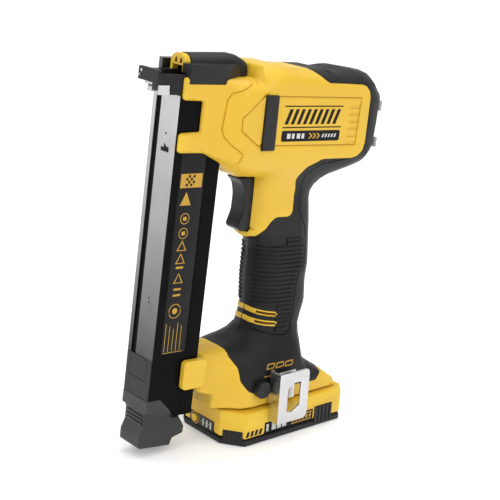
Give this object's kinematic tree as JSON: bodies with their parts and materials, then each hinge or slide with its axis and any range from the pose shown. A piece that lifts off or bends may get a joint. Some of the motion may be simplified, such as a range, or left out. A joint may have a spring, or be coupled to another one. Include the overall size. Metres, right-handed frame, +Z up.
{
  "type": "cordless brad nailer",
  "caption": "Cordless nailer that drives strip-fed wire fasteners, with a slide-on battery, belt hook, trigger and a long upright magazine.",
  "frame": {"origin": "centre of the battery's underside, which is what the tool stands on", "axes": "+Z up from the surface it stands on, -X towards the nose that drives the fasteners, -Y towards the belt hook's side"},
  "size_m": [0.2254, 0.0896, 0.3055],
  "materials": {
    "yellow_shell": "textured satin moulding",
    "black_grip": "soft overmould",
    "yellow_small": "satin moulding",
    "black_plastic": "satin moulding",
    "gauge_gloss": "smooth",
    "grey_plastic": "satin",
    "bare_steel": "ground",
    "dark_steel": "blackened",
    "bare_aluminium": "brushed",
    "buffer_elastomer": "moulded",
    "rotor_copper": "wound copper on a steel core",
    "board": "coated board",
    "cell_sleeve": "shrink-sleeved can"
  },
  "bodies": {
    "tool": {"housing_left": "yellow_shell", "housing_right": "yellow_shell", "grip_left": "black_grip", "grip_right": "black_grip", "magazine_clip": "yellow_small", "top_cover": "black_plastic", "side_bumper_left": "black_plastic", "side_bumper_right": "black_plastic", "bumper_strip_left": "black_plastic", "bumper_strip_right": "black_plastic", "trigger_switch": "black_plastic", "magazine_rail": "black_plastic", "hook_boss": "black_plastic", "terminal_block": "black_plastic", "rear_guard": "grey_plastic", "nose_guide": "bare_steel", "contact_trip_spring": "bare_steel", "trigger_spring": "bare_steel", "pusher_spring": "bare_steel", "lifter_axle": "bare_steel", "belt_hook": "bare_steel", "staple_stick": "bare_steel", "nose_body": "dark_steel", "drive_spring": "dark_steel", "motor_can": "dark_steel", "belt_hook_screw": "dark_steel", "housing_screw_1": "dark_steel", "housing_screw_2": "dark_steel", "housing_screw_3": "dark_steel", "housing_screw_4": "dark_steel", "drive_spring_guide": "bare_aluminium", "gear_plate_right": "bare_aluminium", "gear_plate_left": "bare_aluminium", "front_buffer": "buffer_elastomer", "control_board": "board"},
    "driver": {"driver_blade": "bare_steel", "driver_carrier": "bare_steel"},
    "lifter": {"lifter_gear": "bare_steel"},
    "idler": {"idler_gear": "bare_steel"},
    "rotor": {"motor_rotor": "rotor_copper"},
    "contact_trip": {"contact_trip": "black_plastic"},
    "trip_lock": {"trip_lock_button": "yellow_small"},
    "trigger": {"trigger": "black_plastic"},
    "magazine": {"magazine_cover": "black_plastic", "front_strip": "bare_aluminium", "front_rail": "bare_aluminium", "magazine_end_cap": "black_plastic", "pull_foot": "black_plastic"},
    "latch": {"latch_tab": "black_plastic"},
    "pusher": {"pusher": "dark_steel"},
    "battery": {"battery_tray": "black_plastic", "battery_top": "yellow_small", "gauge_panel": "gauge_gloss", "cell_1": "cell_sleeve", "cell_2": "cell_sleeve", "cell_3": "cell_sleeve", "cell_4": "cell_sleeve", "cell_5": "cell_sleeve"},
    "release": {"battery_release": "black_plastic"},
    "gauge_button": {"gauge_button": "yellow_small"}
  },
  "joints": [
    {"name": "driver_stroke", "type": "slide", "parent": "tool", "child": "driver", "axis": [0.9979, 0, -0.0645], "range_m": [0, 0.034], "stiffness_N_per_m": 900, "springref_m": -0.012, "deforming": ["drive_spring"]},
    {"name": "lifter_spin", "type": "hinge", "parent": "tool", "child": "lifter", "pos_m": [-0.00041, 0, 0.24153], "axis": [0, 1, 0], "range_deg": [0, 98]},
    {"name": "idler_spin", "type": "hinge", "parent": "tool", "child": "idler", "pos_m": [0.03551, 0, 0.23921], "axis": [0, 1, 0], "range_deg": [-154, 0]},
    {"name": "rotor_spin", "type": "hinge", "parent": "tool", "child": "rotor", "pos_m": [0.05547, 0, 0.23792], "axis": [0, 1, 0], "range_deg": [0, 358]},
    {"name": "contact_trip_slide", "type": "slide", "parent": "tool", "child": "contact_trip", "axis": [0.9979, 0, -0.0645], "range_m": [0, 0.006], "stiffness_N_per_m": 500, "springref_m": -0.004, "deforming": ["contact_trip_spring"]},
    {"name": "trip_lock_slide", "type": "slide", "parent": "tool", "child": "trip_lock", "axis": [0, 1, 0], "range_m": [-0.003, 0.003]},
    {"name": "trigger_slide", "type": "slide", "parent": "tool", "child": "trigger", "axis": [0.9979, 0, -0.0645], "range_m": [0, 0.006], "stiffness_N_per_m": 500, "springref_m": -0.004, "deforming": ["trigger_spring"]},
    {"name": "magazine_slide", "type": "slide", "parent": "tool", "child": "magazine", "axis": [-0.0645, 0, -0.9979], "range_m": [0, 0.1]},
    {"name": "latch_press", "type": "slide", "parent": "magazine", "child": "latch", "axis": [0.9979, 0, -0.0645], "range_m": [0, 0.002], "stiffness_N_per_m": 500, "springref_m": -0.002},
    {"name": "pusher_slide", "type": "slide", "parent": "tool", "child": "pusher", "axis": [-0.0645, 0, -0.9979], "range_m": [0, 0.06], "stiffness_N_per_m": 60, "springref_m": -0.05, "deforming": ["pusher_spring"]},
    {"name": "battery_slide", "type": "slide", "parent": "tool", "child": "battery", "axis": [1, 0, 0], "range_m": [0, 0.1]},
    {"name": "release_press", "type": "slide", "parent": "battery", "child": "release", "axis": [-1, 0, 0], "range_m": [0, 0.003], "stiffness_N_per_m": 500, "springref_m": -0.003},
    {"name": "gauge_button_press", "type": "slide", "parent": "battery", "child": "gauge_button", "axis": [1, 0, 0], "range_m": [0, 0.001], "stiffness_N_per_m": 400, "springref_m": -0.002}
  ],
  "couplings": [
    {"joint": "lifter_spin", "follows": "driver_stroke", "rad_per_m": 50},
    {"joint": "idler_spin", "follows": "driver_stroke", "rad_per_m": -78.571},
    {"joint": "rotor_spin", "follows": "driver_stroke", "rad_per_m": 183.33}
  ]
}
